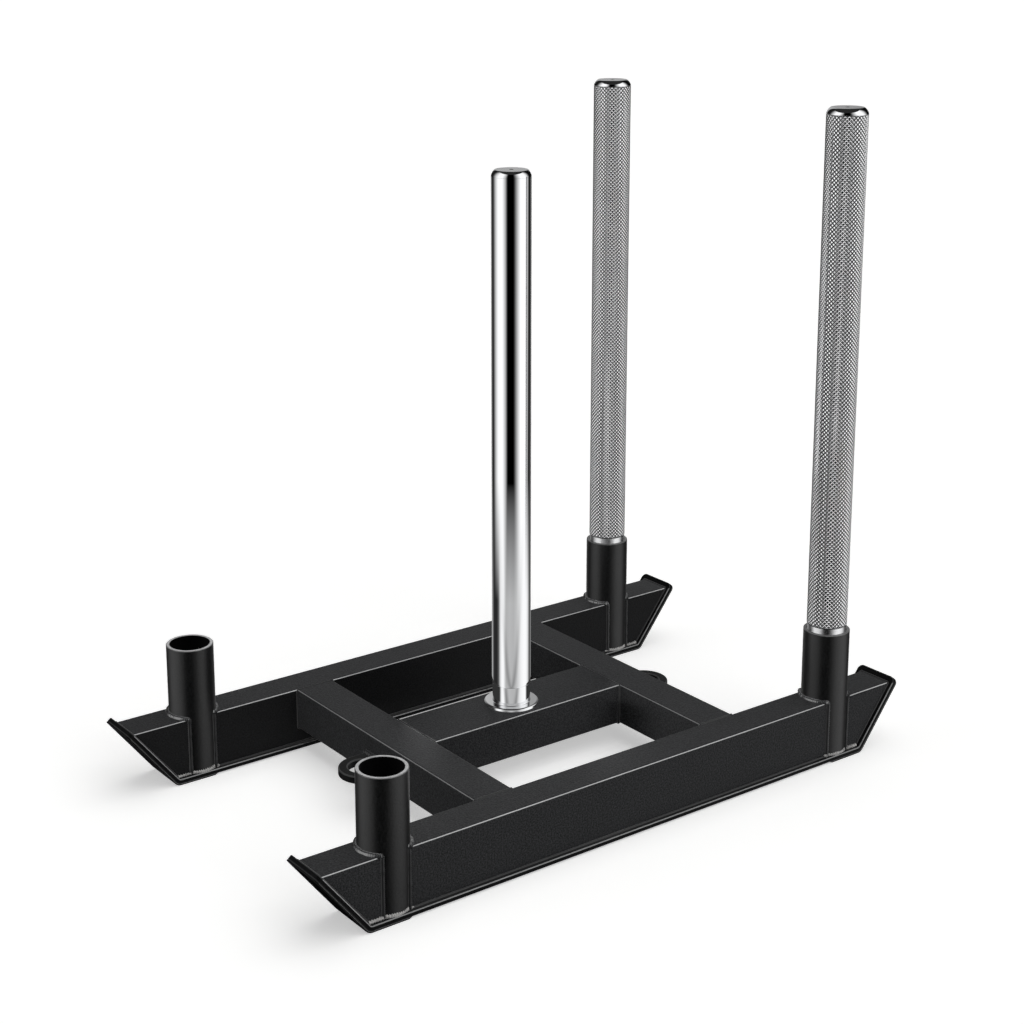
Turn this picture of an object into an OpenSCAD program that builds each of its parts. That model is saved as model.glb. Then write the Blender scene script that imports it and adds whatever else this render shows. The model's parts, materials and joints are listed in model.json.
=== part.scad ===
// Push sled with two skid rails, a welded cross frame, a plate post and two lift-out handles.
// X is across the sled, Y runs from the front (-Y) to the rear (+Y), Z is up from the floor.

/* [Sled] */
// Length over the turned-up ends of the runners
sled_len = 905; // [760:1:1100]
// Distance between the centre lines of the two rails
rail_spacing = 450; // [380:1:600]

/* [Rails] */
// Width of the rail tube
rail_w = 50; // [40:1:58]
// Height of the rail tube
rail_h = 75; // [70:1:100]
// Wall of the rail tube
rail_wall = 4; // [2:0.5:6]
// Outside corner radius of every box tube
tube_corner_r = 3; // [1:0.5:5]

/* [Runners] */
// Thickness of the flat bar under a rail
runner_t = 6; // [4:0.5:10]
// Width of the bar beyond the sockets, on each side
runner_ledge = 2; // [1:0.5:12]
// Angle at which the ends of the bar turn up
rise_angle = 52; // [40:1:65]
// Inside radius of the turned-up bend
bend_in_r = 4; // [2:0.5:10]
// Height of the lip above the top of the rail
lip_rise = 7; // [3:0.5:15]
// Corner radius of the lip
lip_corner_r = 8; // [3:0.5:15]
// Thickness of the shoe under each end
shoe_t = 2; // [1:0.25:4]
// Length of the flat part of a shoe
shoe_flat = 52; // [30:1:90]
// Length of the bevel on the inboard end of a shoe
shoe_bevel = 4; // [0:0.5:8]

/* [Handle sockets] */
// Wall of a socket tube
socket_wall = 4.5; // [3:0.5:8]
// Height of a socket above the top of the rail
socket_rise = 92; // [50:1:140]
// Distance from the end of the sled to the axis of a socket
socket_setback = 107.5; // [100:0.5:160]
// Radial clearance of a handle in its socket
socket_clear = 0.5; // [0.3:0.05:1]
// Chamfer on both edges of the rim
rim_chamfer = 0.4; // [0.2:0.1:1.2]

/* [Cross frame] */
// Distance between the centre lines of the two cross beams
cross_spacing = 352; // [250:1:450]
// Width of a cross beam
cross_w = 55; // [40:1:80]
// Height of the cross beams and the centre beam
beam_h = 55; // [40:1:70]
// Wall of the cross beams and the centre beam
beam_wall = 4; // [2:0.5:6]
// Width of the centre beam
centre_w = 84; // [75:1:120]

/* [Tow eyes] */
// Outer radius of a tow eye
eye_r = 32; // [26:1:45]
// Radius of the hole in a tow eye
eye_hole_r = 20; // [10:0.5:22]
// Distance from the face of the cross beam to the axis of the hole
eye_reach = 24; // [23:0.5:40]
// Thickness of a tow eye
eye_t = 10; // [6:0.5:14]
// Depth of the top of a tow eye below the top of the frame
eye_drop = 26; // [10:1:30]

/* [Plate post] */
// Outside diameter of the plate post
post_d = 50; // [40:0.5:60]
// Wall of the plate post
post_wall = 3; // [2:0.25:6]
// Height of the top of the post above the frame
post_rise = 696; // [300:1:800]
// Diameter of the flange at the foot of the post
flange_d = 70; // [62:1:80]
// Thickness of the flange
flange_t = 4; // [2:0.5:10]
// Bevel on the upper edge of the flange
flange_bevel = 1.6; // [0.2:0.1:1.9]
// Step in radius from the post down to the hub below it
hub_step = 0.5; // [0.2:0.1:2]
// Height of the hub that shows between flange and post
hub_h = 25; // [10:1:50]
// Depth of the hub inside the post
spigot_len = 60; // [40:1:120]
// Radial clearance of a pressed or screwed fit
press_clear = 0.05; // [0.02:0.01:0.1]

/* [Post bolt] */
// Diameter of the bolt that holds the post
bolt_d = 16; // [10:1:18]
// Radial clearance round the bolt
bolt_clear = 0.5; // [0.2:0.1:1]
// Depth of the bolt in the hub
thread_len = 22; // [12:1:30]
// Gap left in the hub above the end of the bolt
bolt_gap = 1; // [0.5:0.1:3]
// Width across the flats of the bolt head
bolt_flats = 24; // [20:1:27]
// Height of the bolt head
bolt_head_h = 9; // [5:0.5:10]
// Diameter of the flat washer
washer_d = 34; // [28:1:40]
// Thickness of the flat washer
washer_t = 3; // [1.5:0.5:4]
// Diameter of the lock washer
lock_d = 26; // [23:0.5:27]
// Thickness of the lock washer
lock_t = 3; // [2:0.5:4]
// Width of the cut in the lock washer
lock_gap = 2; // [1:0.5:4]
// Diameter of the spacer inside the centre beam
spacer_d = 30; // [24:1:40]

/* [Handles] */
// Diameter of the plain shank that goes into a socket
shank_d = 50; // [40:0.5:60]
// Step in radius from the shank up to the knurled grip
grip_step = 1; // [0.3:0.1:2]
// Wall of the handle tube
handle_wall = 3; // [2:0.25:6]
// Height of a handle above its socket
handle_rise = 677; // [300:1:900]
// Plain band between the rim of the socket and the grip
plain_band = 7; // [3:1:30]
// Thickness of the foot plug below the handle tube
foot_t = 4; // [2:0.5:8]
// Length of the foot plug inside the handle tube
foot_len = 18; // [8:1:40]
// Chamfer at the bottom of the foot plug
foot_chamfer = 1; // [0.2:0.1:1.8]

/* [Caps] */
// Height of the cap on the post and the handles
cap_h = 8; // [7:0.5:16]
// Radial size of the chamfer on the post's cap
post_chamfer = 4.4; // [2:0.1:8]
// Radial size of the chamfer on a handle's cap
handle_chamfer = 5.6; // [2:0.1:8]
// Height of the chamfer on a cap
cap_chamfer_h = 6.5; // [2:0.1:6.9]
// Length of a cap inside its tube
cap_len = 20; // [10:1:40]
// Radius of the centre mark on a cap
mark_r = 2; // [1:0.1:4]
// Depth of the centre mark on a cap
mark_depth = 1.5; // [0.5:0.1:3]

/* [Hidden] */

// Steps round a circle
$fn = 96;
// Reach of a cutting solid past what it cuts
over = 1;
// Flats round the bend of a runner
bend_steps = 10;
// Lap of the rounding of a lip past the lip's edges
corner_lap = 0.02;
// Side of the sled and end of the sled, as factors of X and Y
left = -1;
right = 1;
front = -1;
rear = 1;

// Heights of the stack from the floor up
rail_z = shoe_t + runner_t;
frame_top = rail_z + rail_h;
beam_z = frame_top - beam_h;
socket_top = frame_top + socket_rise;
post_top = frame_top + post_rise;
handle_top = socket_top + handle_rise;

// Socket bore and outside, from the handle that goes in
socket_r = shank_d / 2 + socket_clear;
socket_out_r = socket_r + socket_wall;
socket_y = sled_len / 2 - socket_setback;
runner_w = 2 * (socket_out_r + runner_ledge);

// The turned-up end: a bend about (bend_y, bend_z), then a straight lift
bend_out_r = bend_in_r + runner_t + shoe_t;
bend_z = bend_out_r;
lift_len = (frame_top + lip_rise - bend_z + bend_in_r * cos(rise_angle)) / sin(rise_angle);
bend_y = sled_len / 2 - bend_out_r * sin(rise_angle) - lift_len * cos(rise_angle);

// Place of the frame's beams
rail_x = rail_spacing / 2;
cross_y = cross_spacing / 2;
cross_len = rail_spacing - rail_w;
centre_len = cross_spacing - cross_w;

// Post and handle parts
post_foot = frame_top + flange_t + hub_h;
post_bore_r = post_d / 2 - post_wall;
handle_foot = rail_z + foot_t;
handle_bore_r = shank_d / 2 - handle_wall;
grip_r = shank_d / 2 + grip_step;
bolt_hole_r = bolt_d / 2 + bolt_clear;
bolt_top = frame_top + thread_len;

paint = "#2c2d2f";
chrome = "#d4d6da";
steel = "#9a9ca0";
plastic = "#1c1c1e";

// Rectangle with round corners, centred
module round_rect(w, h, r) {
    square([w - 2 * r, h], center = true);
    square([w, h - 2 * r], center = true);
    for (x = [-1, 1], y = [-1, 1])
        translate([x * (w / 2 - r), y * (h / 2 - r)]) circle(r, $fn = 32);
}

// Section of a box tube, centred
module box_section(w, h, wall) {
    difference() {
        round_rect(w, h, tube_corner_r);
        square([w - 2 * wall, h - 2 * wall], center = true);
    }
}

// Moves from the floor centre to the middle of a rail
module at_rail(side) {
    translate([side * rail_x, 0, 0]) children();
}

// Turns something built at the rear end to the chosen end
module at_end(end) {
    scale([1, end, 1]) children();
}

// Box tube of a rail between two places along Y
module rail_tube(from_y, to_y) {
    translate([0, to_y, rail_z + rail_h / 2])
        rotate([90, 0, 0])
        linear_extrude(to_y - from_y)
        box_section(rail_w, rail_h, rail_wall);
}

// Space that a socket tube takes out of the rail
module socket_space(y) {
    translate([0, y, rail_z - over]) cylinder(h = rail_h + 2 * over, r = socket_out_r);
}

// A rail between its two sockets, cut round to meet them
module rail(side) {
    color(paint) at_rail(side) difference() {
        rail_tube(-socket_y, socket_y);
        for (end = [front, rear]) socket_space(end * socket_y);
    }
}

// Everything below a plane turned up by an angle, at a depth under the bend's centre
module below_plane(angle, depth) {
    reach = 2 * lift_len;
    rotate([angle, 0, 0])
        translate([-runner_w, -reach, -depth - reach])
        cube([2 * runner_w, 2 * reach, reach]);
}

// Cut that ends a rail against the lift, with its lower edge taken off to clear the bend
module beyond_runner() {
    translate([0, bend_y, bend_z]) {
        below_plane(rise_angle, bend_in_r);
        below_plane(rise_angle / 2, bend_in_r * cos(rise_angle / 2));
    }
}

// The short rail between a socket and the turned-up end
module rail_end(side, end) {
    color(paint) at_rail(side) at_end(end) difference() {
        rail_tube(socket_y, sled_len / 2);
        socket_space(socket_y);
        beyond_runner();
    }
}

// Takes the two corners off the lip of a strip
module lip_corners(depth) {
    inset = lip_corner_r - corner_lap;
    for (x = [-1, 1])
        scale([x, 1, 1])
        translate([runner_w / 2 - inset, lift_len - inset, -depth - over])
        difference() {
            cube([lip_corner_r + over, lip_corner_r + over, depth + 2 * over]);
            translate([0, 0, -over]) cylinder(h = depth + 4 * over, r = lip_corner_r);
        }
}

// Line in side view at a radius about the bend's centre: round the bend, then up the lift
function bend_line(r) = [
    for (i = [0:bend_steps])
        let (a = rise_angle * i / bend_steps)
        [r * sin(a), -r * cos(a)],
    [r * sin(rise_angle) + lift_len * cos(rise_angle),
     lift_len * sin(rise_angle) - r * cos(rise_angle)]];

function reversed(list) = [for (i = [len(list) - 1:-1:0]) list[i]];

// Side view of a bent strip about the origin: flat towards -X, the bend, and the lift
module strip_profile(inner_r, t, flat, bevel) {
    polygon(concat(
        [[-flat, -inner_r]],
        bend_line(inner_r),
        reversed(bend_line(inner_r + t)),
        [[bevel - flat, -inner_r - t]]));
}

// Bent strip as wide as a runner, with the corners of its lip rounded
module bent_strip(inner_r, t, flat, bevel = 0) {
    difference() {
        rotate([90, 0, 90])
            translate([0, 0, -runner_w / 2])
            linear_extrude(runner_w)
            strip_profile(inner_r, t, flat, bevel);
        rotate([rise_angle, 0, 0]) lip_corners(inner_r + t);
    }
}

// The flat bar under a rail, turned up at both ends
module runner(side) {
    color(paint) at_rail(side)
        for (end = [front, rear]) at_end(end)
        translate([0, bend_y, bend_z])
        bent_strip(bend_in_r, runner_t, bend_y);
}

// The shoe wrapped round one end of a runner
module shoe(side, end) {
    color(paint) at_rail(side) at_end(end)
        translate([0, bend_y, bend_z])
        bent_strip(bend_in_r + runner_t, shoe_t, shoe_flat, shoe_bevel);
}

// A socket tube that stands on the runner
module socket(side, end) {
    color(paint) translate([side * rail_x, end * socket_y, 0])
        rotate_extrude()
        polygon([
            [socket_r, rail_z],
            [socket_out_r, rail_z],
            [socket_out_r, socket_top - rim_chamfer],
            [socket_out_r - rim_chamfer, socket_top],
            [socket_r + rim_chamfer, socket_top],
            [socket_r, socket_top - rim_chamfer]]);
}

// A beam across the sled, between the rails
module cross_beam(end) {
    color(paint)
        translate([-cross_len / 2, end * cross_y, beam_z + beam_h / 2])
        rotate([90, 0, 90])
        linear_extrude(cross_len)
        box_section(cross_w, beam_h, beam_wall);
}

// The wide beam along the sled that carries the post
module centre_beam() {
    color(paint) difference() {
        translate([0, centre_len / 2, beam_z + beam_h / 2])
            rotate([90, 0, 0])
            linear_extrude(centre_len)
            box_section(centre_w, beam_h, beam_wall);
        translate([0, 0, beam_z - over]) cylinder(h = beam_h + 2 * over, r = bolt_hole_r);
    }
}

// Outline of a tow eye, from the beam's face at y = 0 outwards
module eye_outline() {
    difference() {
        translate([0, eye_reach]) circle(eye_r);
        translate([-eye_r, -eye_r]) square([2 * eye_r, eye_r]);
    }
    translate([-eye_r, 0]) square([2 * eye_r, eye_reach]);
}

// A flat eye on the outer face of a cross beam
module tow_eye(end) {
    eye_top = frame_top - eye_drop;
    color(paint) at_end(end)
        translate([0, cross_y + cross_w / 2, eye_top - eye_t])
        difference() {
            linear_extrude(eye_t) eye_outline();
            translate([0, eye_reach, -over]) cylinder(h = eye_t + 2 * over, r = eye_hole_r);
        }
}

// Flanged hub that stands on the centre beam and goes up into the post
module post_hub() {
    hub_r = post_d / 2 - hub_step;
    spigot_r = post_bore_r - press_clear;
    color(chrome) translate([0, 0, frame_top]) difference() {
        union() {
            rotate_extrude() polygon([
                [0, 0],
                [flange_d / 2, 0],
                [flange_d / 2, flange_t - flange_bevel],
                [flange_d / 2 - flange_bevel, flange_t],
                [0, flange_t]]);
            cylinder(h = flange_t + hub_h, r = hub_r);
            cylinder(h = flange_t + hub_h + spigot_len, r = spigot_r);
        }
        translate([0, 0, -over])
            cylinder(h = thread_len + bolt_gap + over, r = bolt_d / 2 + press_clear);
    }
}

// The bright tube that the weight plates slide over
module post_tube() {
    color(chrome) translate([0, 0, post_foot]) difference() {
        cylinder(h = post_top - cap_h - post_foot, d = post_d);
        translate([0, 0, -over]) cylinder(h = post_top, r = post_bore_r);
    }
}

// Chamfered cap, pressed into a tube whose top end is at z = 0
module tube_cap(outer_r, bore_r, chamfer) {
    rotate_extrude() polygon([
        [0, -cap_len],
        [bore_r - press_clear, -cap_len],
        [bore_r - press_clear, 0],
        [outer_r, 0],
        [outer_r, cap_h - cap_chamfer_h],
        [outer_r - chamfer, cap_h],
        [mark_r, cap_h],
        [0, cap_h - mark_depth]]);
}

module post_cap() {
    color(chrome) translate([0, 0, post_top - cap_h]) tube_cap(post_d / 2, post_bore_r, post_chamfer);
}

// Bolt from below, through washers, beam and spacer into the hub
module post_bolt() {
    under_head = beam_z - washer_t - lock_t;
    color(steel) {
        translate([0, 0, under_head]) cylinder(h = bolt_top - under_head, d = bolt_d);
        translate([0, 0, under_head - bolt_head_h])
            cylinder(h = bolt_head_h, r = bolt_flats / 2 / cos(30), $fn = 6);
    }
}

module ring(outer_r, inner_r, h) {
    difference() {
        cylinder(h = h, r = outer_r);
        translate([0, 0, -over]) cylinder(h = h + 2 * over, r = inner_r);
    }
}

module post_washer() {
    color(steel) translate([0, 0, beam_z - washer_t]) ring(washer_d / 2, bolt_hole_r, washer_t);
}

module post_lock_washer() {
    color(steel) translate([0, 0, beam_z - washer_t - lock_t]) difference() {
        ring(lock_d / 2, bolt_hole_r, lock_t);
        translate([0, -lock_gap / 2, -over]) cube([lock_d, lock_gap, lock_t + 2 * over]);
    }
}

// Tube inside the centre beam that takes the pull of the bolt
module post_spacer() {
    color(steel)
        translate([0, 0, beam_z + beam_wall])
        ring(spacer_d / 2, bolt_hole_r, beam_h - 2 * beam_wall);
}

// Moves to the axis of a rear socket, where a handle stands
module at_handle(side) {
    translate([side * rail_x, rear * socket_y, 0]) children();
}

// Steel tube with a plain shank below and a knurled grip above
module handle_tube(side) {
    color(chrome) at_handle(side)
        rotate_extrude()
        polygon([
            [handle_bore_r, handle_foot],
            [shank_d / 2, handle_foot],
            [shank_d / 2, socket_top + plain_band],
            [grip_r, socket_top + plain_band + grip_step],
            [grip_r, handle_top - cap_h],
            [handle_bore_r, handle_top - cap_h]]);
}

module handle_cap(side) {
    color(chrome) at_handle(side) translate([0, 0, handle_top - cap_h])
        tube_cap(grip_r, handle_bore_r, handle_chamfer);
}

// Plug in the foot of a handle, which stands on the runner
module foot_plug(side) {
    color(plastic) at_handle(side)
        rotate_extrude()
        polygon([
            [0, rail_z],
            [shank_d / 2 - foot_chamfer, rail_z],
            [shank_d / 2, rail_z + foot_chamfer],
            [shank_d / 2, handle_foot],
            [handle_bore_r - press_clear, handle_foot],
            [handle_bore_r - press_clear, handle_foot + foot_len],
            [0, handle_foot + foot_len]]);
}

rail(left);  // left_rail
rail(right);  // right_rail
rail_end(left, front);  // left_front_rail_end
rail_end(left, rear);  // left_rear_rail_end
rail_end(right, front);  // right_front_rail_end
rail_end(right, rear);  // right_rear_rail_end
runner(left);  // left_runner
runner(right);  // right_runner
shoe(left, front);  // left_front_shoe
shoe(left, rear);  // left_rear_shoe
shoe(right, front);  // right_front_shoe
shoe(right, rear);  // right_rear_shoe
socket(left, front);  // left_front_socket
socket(left, rear);  // left_rear_socket
socket(right, front);  // right_front_socket
socket(right, rear);  // right_rear_socket
cross_beam(front);  // front_cross_beam
cross_beam(rear);  // rear_cross_beam
centre_beam();
tow_eye(front);  // front_tow_eye
tow_eye(rear);  // rear_tow_eye
post_hub();
post_tube();
post_cap();
post_bolt();
post_washer();
post_lock_washer();
post_spacer();
handle_tube(left);  // left_handle_tube
handle_cap(left);  // left_handle_cap
foot_plug(left);  // left_foot_plug
handle_tube(right);  // right_handle_tube
handle_cap(right);  // right_handle_cap
foot_plug(right);  // right_foot_plug
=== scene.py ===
import json
import math

import bmesh
import bpy
from bpy.props import FloatProperty, FloatVectorProperty, IntProperty, PointerProperty
from mathutils import Matrix, Vector, noise


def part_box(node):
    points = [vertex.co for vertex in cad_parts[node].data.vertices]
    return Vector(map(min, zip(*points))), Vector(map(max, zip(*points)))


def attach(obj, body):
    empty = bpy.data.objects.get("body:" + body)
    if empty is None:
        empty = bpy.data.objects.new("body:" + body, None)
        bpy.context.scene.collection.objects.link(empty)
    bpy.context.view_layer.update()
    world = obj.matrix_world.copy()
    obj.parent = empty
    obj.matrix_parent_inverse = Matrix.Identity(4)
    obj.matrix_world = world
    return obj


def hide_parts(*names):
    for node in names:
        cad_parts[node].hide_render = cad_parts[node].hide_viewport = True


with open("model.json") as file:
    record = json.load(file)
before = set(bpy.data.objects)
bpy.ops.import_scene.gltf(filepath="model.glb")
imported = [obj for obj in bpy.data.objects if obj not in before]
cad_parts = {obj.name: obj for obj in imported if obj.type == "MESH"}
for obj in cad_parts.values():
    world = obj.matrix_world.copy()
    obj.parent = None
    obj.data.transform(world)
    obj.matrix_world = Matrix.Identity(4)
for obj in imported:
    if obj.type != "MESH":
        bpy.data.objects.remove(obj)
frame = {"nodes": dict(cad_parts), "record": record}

bl_info = {
    "name": "Push Sled",
    "version": (1, 0, 0),
    "blender": (4, 5, 0),
    "location": "3D View > Sidebar > Sled",
    "description": "Coats, welds, knurls and lights the push sled",
    "category": "Object",
}

SIDES = {"left": -1, "right": 1}
ENDS = {"front": -1, "rear": 1}
MM = 0.001

# The camera's turn and rise in degrees, and its lens and shift in pixels of the picture
CAMERA_PLACE = (1.879, -1.402, 1.1058)
CAMERA_TURN, CAMERA_RISE = 53.25, 13.62
PICTURE_PIXELS, FOCAL_PIXELS, SHIFT_PIXELS = 1024, 1935, -150

# The studio cards: degrees from their middle to +X, height of the lowest one, strength of their light
FRONT_TURN = 36.5
UNDER_CARD = -1.9
CARD_GLOW = 1.2


# Places, read from the solids

def tenth(value):
    """A length rounded to a tenth of a millimetre."""
    return round(value, 4)


RAIL_LO, RAIL_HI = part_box("right_rail")
RAIL_X = tenth((RAIL_LO.x + RAIL_HI.x) / 2)
RAIL_HALF = tenth((RAIL_HI.x - RAIL_LO.x) / 2)
RAIL_Z, FRAME_TOP = tenth(RAIL_LO.z), tenth(RAIL_HI.z)
SOCKET_LO, SOCKET_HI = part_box("right_rear_socket")
SOCKET_Y = tenth((SOCKET_LO.y + SOCKET_HI.y) / 2)
SOCKET_R = tenth((SOCKET_HI.y - SOCKET_LO.y) / 2)
SOCKET_TOP = tenth(SOCKET_HI.z)
MOUNTS = {mount["name"]: mount["dims"] for mount in frame["record"]["mounts"]}
SOCKET_BORE = MOUNTS["right_front_socket"]["r_mm"] * MM
POST_R = MOUNTS["plate_post"]["r_mm"] * MM
RAIL_DROP = math.sqrt(SOCKET_R ** 2 - RAIL_HALF ** 2)

# Sizes inside the tubes, and how near a face's middle is to count as on a surface
TUBE_WALL = 3 * MM
PLUG_PLAY = 0.05 * MM
TOUCH = 0.1 * MM


# Values a user would change

class SledSizes(bpy.types.PropertyGroup):
    edge: FloatProperty(name="Edge rounding", description="Rounding of the cut edges of bars and plates",
                        default=1.0 * MM, min=0, unit="LENGTH")
    bead: FloatProperty(name="Weld bead", description="Radius of the weld beads round the sockets",
                        default=3.1 * MM, min=0, unit="LENGTH")
    seam: FloatProperty(name="Seam bead", description="Radius of the long beads along rails and beams",
                        default=1.7 * MM, min=0, unit="LENGTH")
    knurls: IntProperty(name="Knurls", description="Diamonds round a handle", default=31, min=12)
    groove: FloatProperty(name="Groove", description="Half the width of a groove of the knurling",
                          default=1.0 * MM, min=0, unit="LENGTH")
    depth: FloatProperty(name="Groove depth", description="Depth of the grooves of the knurling",
                         default=0.68 * MM, min=0, unit="LENGTH")


class SledFinish(bpy.types.PropertyGroup):
    coat: FloatVectorProperty(name="Coat", description="Colour of the powder coat", subtype="COLOR",
                              default=(0.012, 0.0123, 0.013), min=0, max=1)
    # Near-white colour on the marked edges: a painted highlight line, with some rub wear.
    worn: FloatVectorProperty(name="Worn edge", description="Colour of the coat where edges are rubbed",
                              subtype="COLOR", default=(0.93, 0.935, 0.94), min=0, max=1)
    bright: FloatVectorProperty(name="Chrome", description="Colour of the chrome plate", subtype="COLOR",
                                default=(0.86, 0.865, 0.875), min=0, max=1)
    ground: FloatVectorProperty(name="Ground rim", description="Colour of the ground rims of the sockets",
                                subtype="COLOR", default=(0.60, 0.60, 0.605), min=0, max=1)
    floor: FloatVectorProperty(name="Floor", description="Colour of the floor", subtype="COLOR",
                               default=(0.88, 0.88, 0.87), min=0, max=1)


# Shader maths on sockets

class Value:
    """A socket of a finish; arithmetic on it adds Math nodes."""

    def __init__(self, finish, socket):
        self.finish, self.socket = finish, socket

    def _sum(self, operation, *terms):
        return self.finish.add("ShaderNodeMath", {"operation": operation}, *terms)

    def __add__(self, other): return self._sum("ADD", self, other)
    def __radd__(self, other): return self._sum("ADD", other, self)
    def __sub__(self, other): return self._sum("SUBTRACT", self, other)
    def __rsub__(self, other): return self._sum("SUBTRACT", other, self)
    def __mul__(self, other): return self._sum("MULTIPLY", self, other)
    def __rmul__(self, other): return self._sum("MULTIPLY", other, self)
    def __truediv__(self, other): return self._sum("DIVIDE", self, other)
    def __rtruediv__(self, other): return self._sum("DIVIDE", other, self)
    def __pow__(self, other): return self._sum("POWER", self, other)
    def __gt__(self, other): return self._sum("GREATER_THAN", self, other)
    def __lt__(self, other): return self._sum("LESS_THAN", self, other)


class Finish:
    """A material or world whose nodes are added one by one."""

    def __init__(self, owner):
        owner.use_nodes = True
        self.owner, self.tree = owner, owner.node_tree
        self.tree.nodes.clear()

    def add(self, kind, settings=None, *values, out=0, **named):
        """Adds a node: its settings first, then the values or links of its sockets."""
        made = self.tree.nodes.new(kind)
        for key, value in (settings or {}).items():
            if key == "stops":
                ramp = made.color_ramp.elements
                while len(ramp) < len(value):
                    ramp.new(1)
                for stop, (place, shade) in zip(ramp, value):
                    stop.position = place
                    stop.color = (*shade, 1) if isinstance(shade, tuple) else (shade, shade, shade, 1)
            else:
                setattr(made, key, value)
        sockets = dict(enumerate(values))
        sockets.update({key.replace("_", " "): value for key, value in named.items()})
        for key, value in sockets.items():
            socket = made.inputs[key]
            if isinstance(value, Value):
                self.tree.links.new(value.socket, socket)
            elif isinstance(value, (tuple, list)) and socket.type == "RGBA":
                socket.default_value = (*value[:3], 1)
            else:
                socket.default_value = value
        return Value(self, made.outputs[out]) if made.outputs else None

    def mix(self, mask, first, second):
        """Colour that goes from the first to the second with a mask."""
        made = self.tree.nodes.new("ShaderNodeMix")
        made.data_type = "RGBA"
        for socket, value in ((made.inputs[0], mask), (made.inputs[6], first), (made.inputs[7], second)):
            if isinstance(value, Value):
                self.tree.links.new(value.socket, socket)
            else:
                socket.default_value = (*value[:3], 1) if isinstance(value, tuple) else value
        return Value(self, made.outputs[2])

    def place(self, scale=(1, 1, 1), shift=(0, 0, 0)):
        """Object coordinates, stretched and moved."""
        where = self.add("ShaderNodeTexCoord", out=3)
        return self.add("ShaderNodeMapping", None, where, Location=shift, Scale=scale)

    def noise(self, where, scale, detail=3.0, roughness=0.55):
        return self.add("ShaderNodeTexNoise", None, Vector=where, Scale=scale, Detail=detail,
                        Roughness=roughness)

    def ramp(self, value, *stops):
        return self.add("ShaderNodeValToRGB", {"stops": stops}, value)

    def bump(self, height, distance, strength=1.0):
        return self.add("ShaderNodeBump", None, Height=height, Distance=distance, Strength=strength)

    def surface(self, shader):
        self.add("ShaderNodeOutputMaterial", None, shader)
        return self.owner


def new_finish(name):
    return Finish(bpy.data.materials.new(name))


def toned(colour, times):
    """A colour made darker or lighter."""
    return tuple(times * part for part in colour)


def powder_coat(name, looks, tone=1.0, grain=1.0, gloss=0.42, sheen=0.5):
    """Satin black coat: fine grain, uneven gloss, a painted highlight with some rub wear along marked edges,
    painted shade on inner sides.
    """
    f = new_finish(name)
    here = f.place()
    fine = f.noise(here, 520, 4, 0.6)
    cells = f.add("ShaderNodeTexVoronoi", {"feature": "SMOOTH_F1"}, Vector=here, Scale=460.0)
    broad = f.noise(here, 14, 4)
    streak = f.noise(f.place((1.0, 0.12, 1.0)), 60, 3)
    edge = f.add("ShaderNodeAttribute", {"attribute_name": "edge"}, out=2)
    # Painted highlight with some rub wear: the marked edges go near-white, broken up in streaks.
    wear_and_highlight = edge * f.ramp(streak + broad * 0.35, (0.40, 0.75), (0.75, 1.0))
    speck = f.ramp(fine, (0.40, 0.0), (0.68, 1.0))
    shade = speck * 0.8 + broad * 0.2
    colour = f.mix(shade, toned(looks.coat, 0.45 * tone), toned(looks.coat, 3.0 * tone))
    # Painted shade: faces marked inner, which look toward the sled's middle, are darkened toward black.
    inner = f.add("ShaderNodeAttribute", {"attribute_name": "inner"}, out=2)
    colour = f.mix(inner * 0.7, colour, toned(looks.coat, 0.2))
    colour = f.mix(wear_and_highlight, colour, tuple(looks.worn))
    rough = gloss + 0.10 * broad + 0.12 * speck
    height = f.bump(cells * 0.6 + fine * 0.4, 0.0004 * grain, 0.9)
    return f.surface(f.add("ShaderNodeBsdfPrincipled", None, Base_Color=colour, Roughness=rough, IOR=1.45,
                           Specular_IOR_Level=sheen, Normal=height))


def bead_coat(name, looks, tone=1.0, pale=0.0, gloss=0.18, shine=1.95):
    """Coat over a weld bead: smoother, with spatter and light grey lumpy patches where it is pale."""
    f = new_finish(name)
    here = f.place()
    lumps = f.noise(here, 420, 5, 0.7)
    broad = f.noise(here, 70, 3)
    paler = f.ramp(lumps + broad * 0.3, (0.42, 0.0), (0.66, 1.0)) * pale
    coat = f.mix(broad, toned(looks.coat, 1.8 * tone), toned(looks.coat, 4.5 * tone))
    rough = gloss + 0.08 * lumps + 0.2 * paler
    height = f.bump(lumps, 0.0002 + 0.0006 * pale, 0.7)
    colour = f.mix(paler, coat, (0.6, 0.59, 0.58))
    return f.surface(f.add("ShaderNodeBsdfPrincipled", None, Base_Color=colour, Roughness=rough, IOR=shine,
                           Specular_IOR_Level=0.9, Metallic=paler * 0.35, Normal=height))


def chrome(name, looks, rough=0.016):
    """Bright plate with faint rubbing marks and a soft haze in patches."""
    f = new_finish(name)
    haze = f.noise(f.place(), 22, 4)
    marks = f.noise(f.place((1, 1, 0.02)), 900, 3, 0.7)
    rings = f.noise(f.place((0.05, 0.05, 1)), 700, 3, 0.7)
    scratch = f.ramp(marks, (0.62, 0.0), (0.8, 1.0)) * 0.5 + f.ramp(rings, (0.64, 0.0), (0.8, 1.0)) * 0.35
    colour = f.mix(scratch * 0.12 + haze * 0.05, tuple(looks.bright), (0.62, 0.63, 0.65))
    roughness = rough + 0.012 * haze + 0.03 * scratch
    height = f.bump(marks * 0.5 + rings * 0.5, 0.000004, 0.3)
    return f.surface(f.add("ShaderNodeBsdfPrincipled", None, Base_Color=colour, Metallic=1.0,
                           Roughness=roughness, Normal=height))


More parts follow.
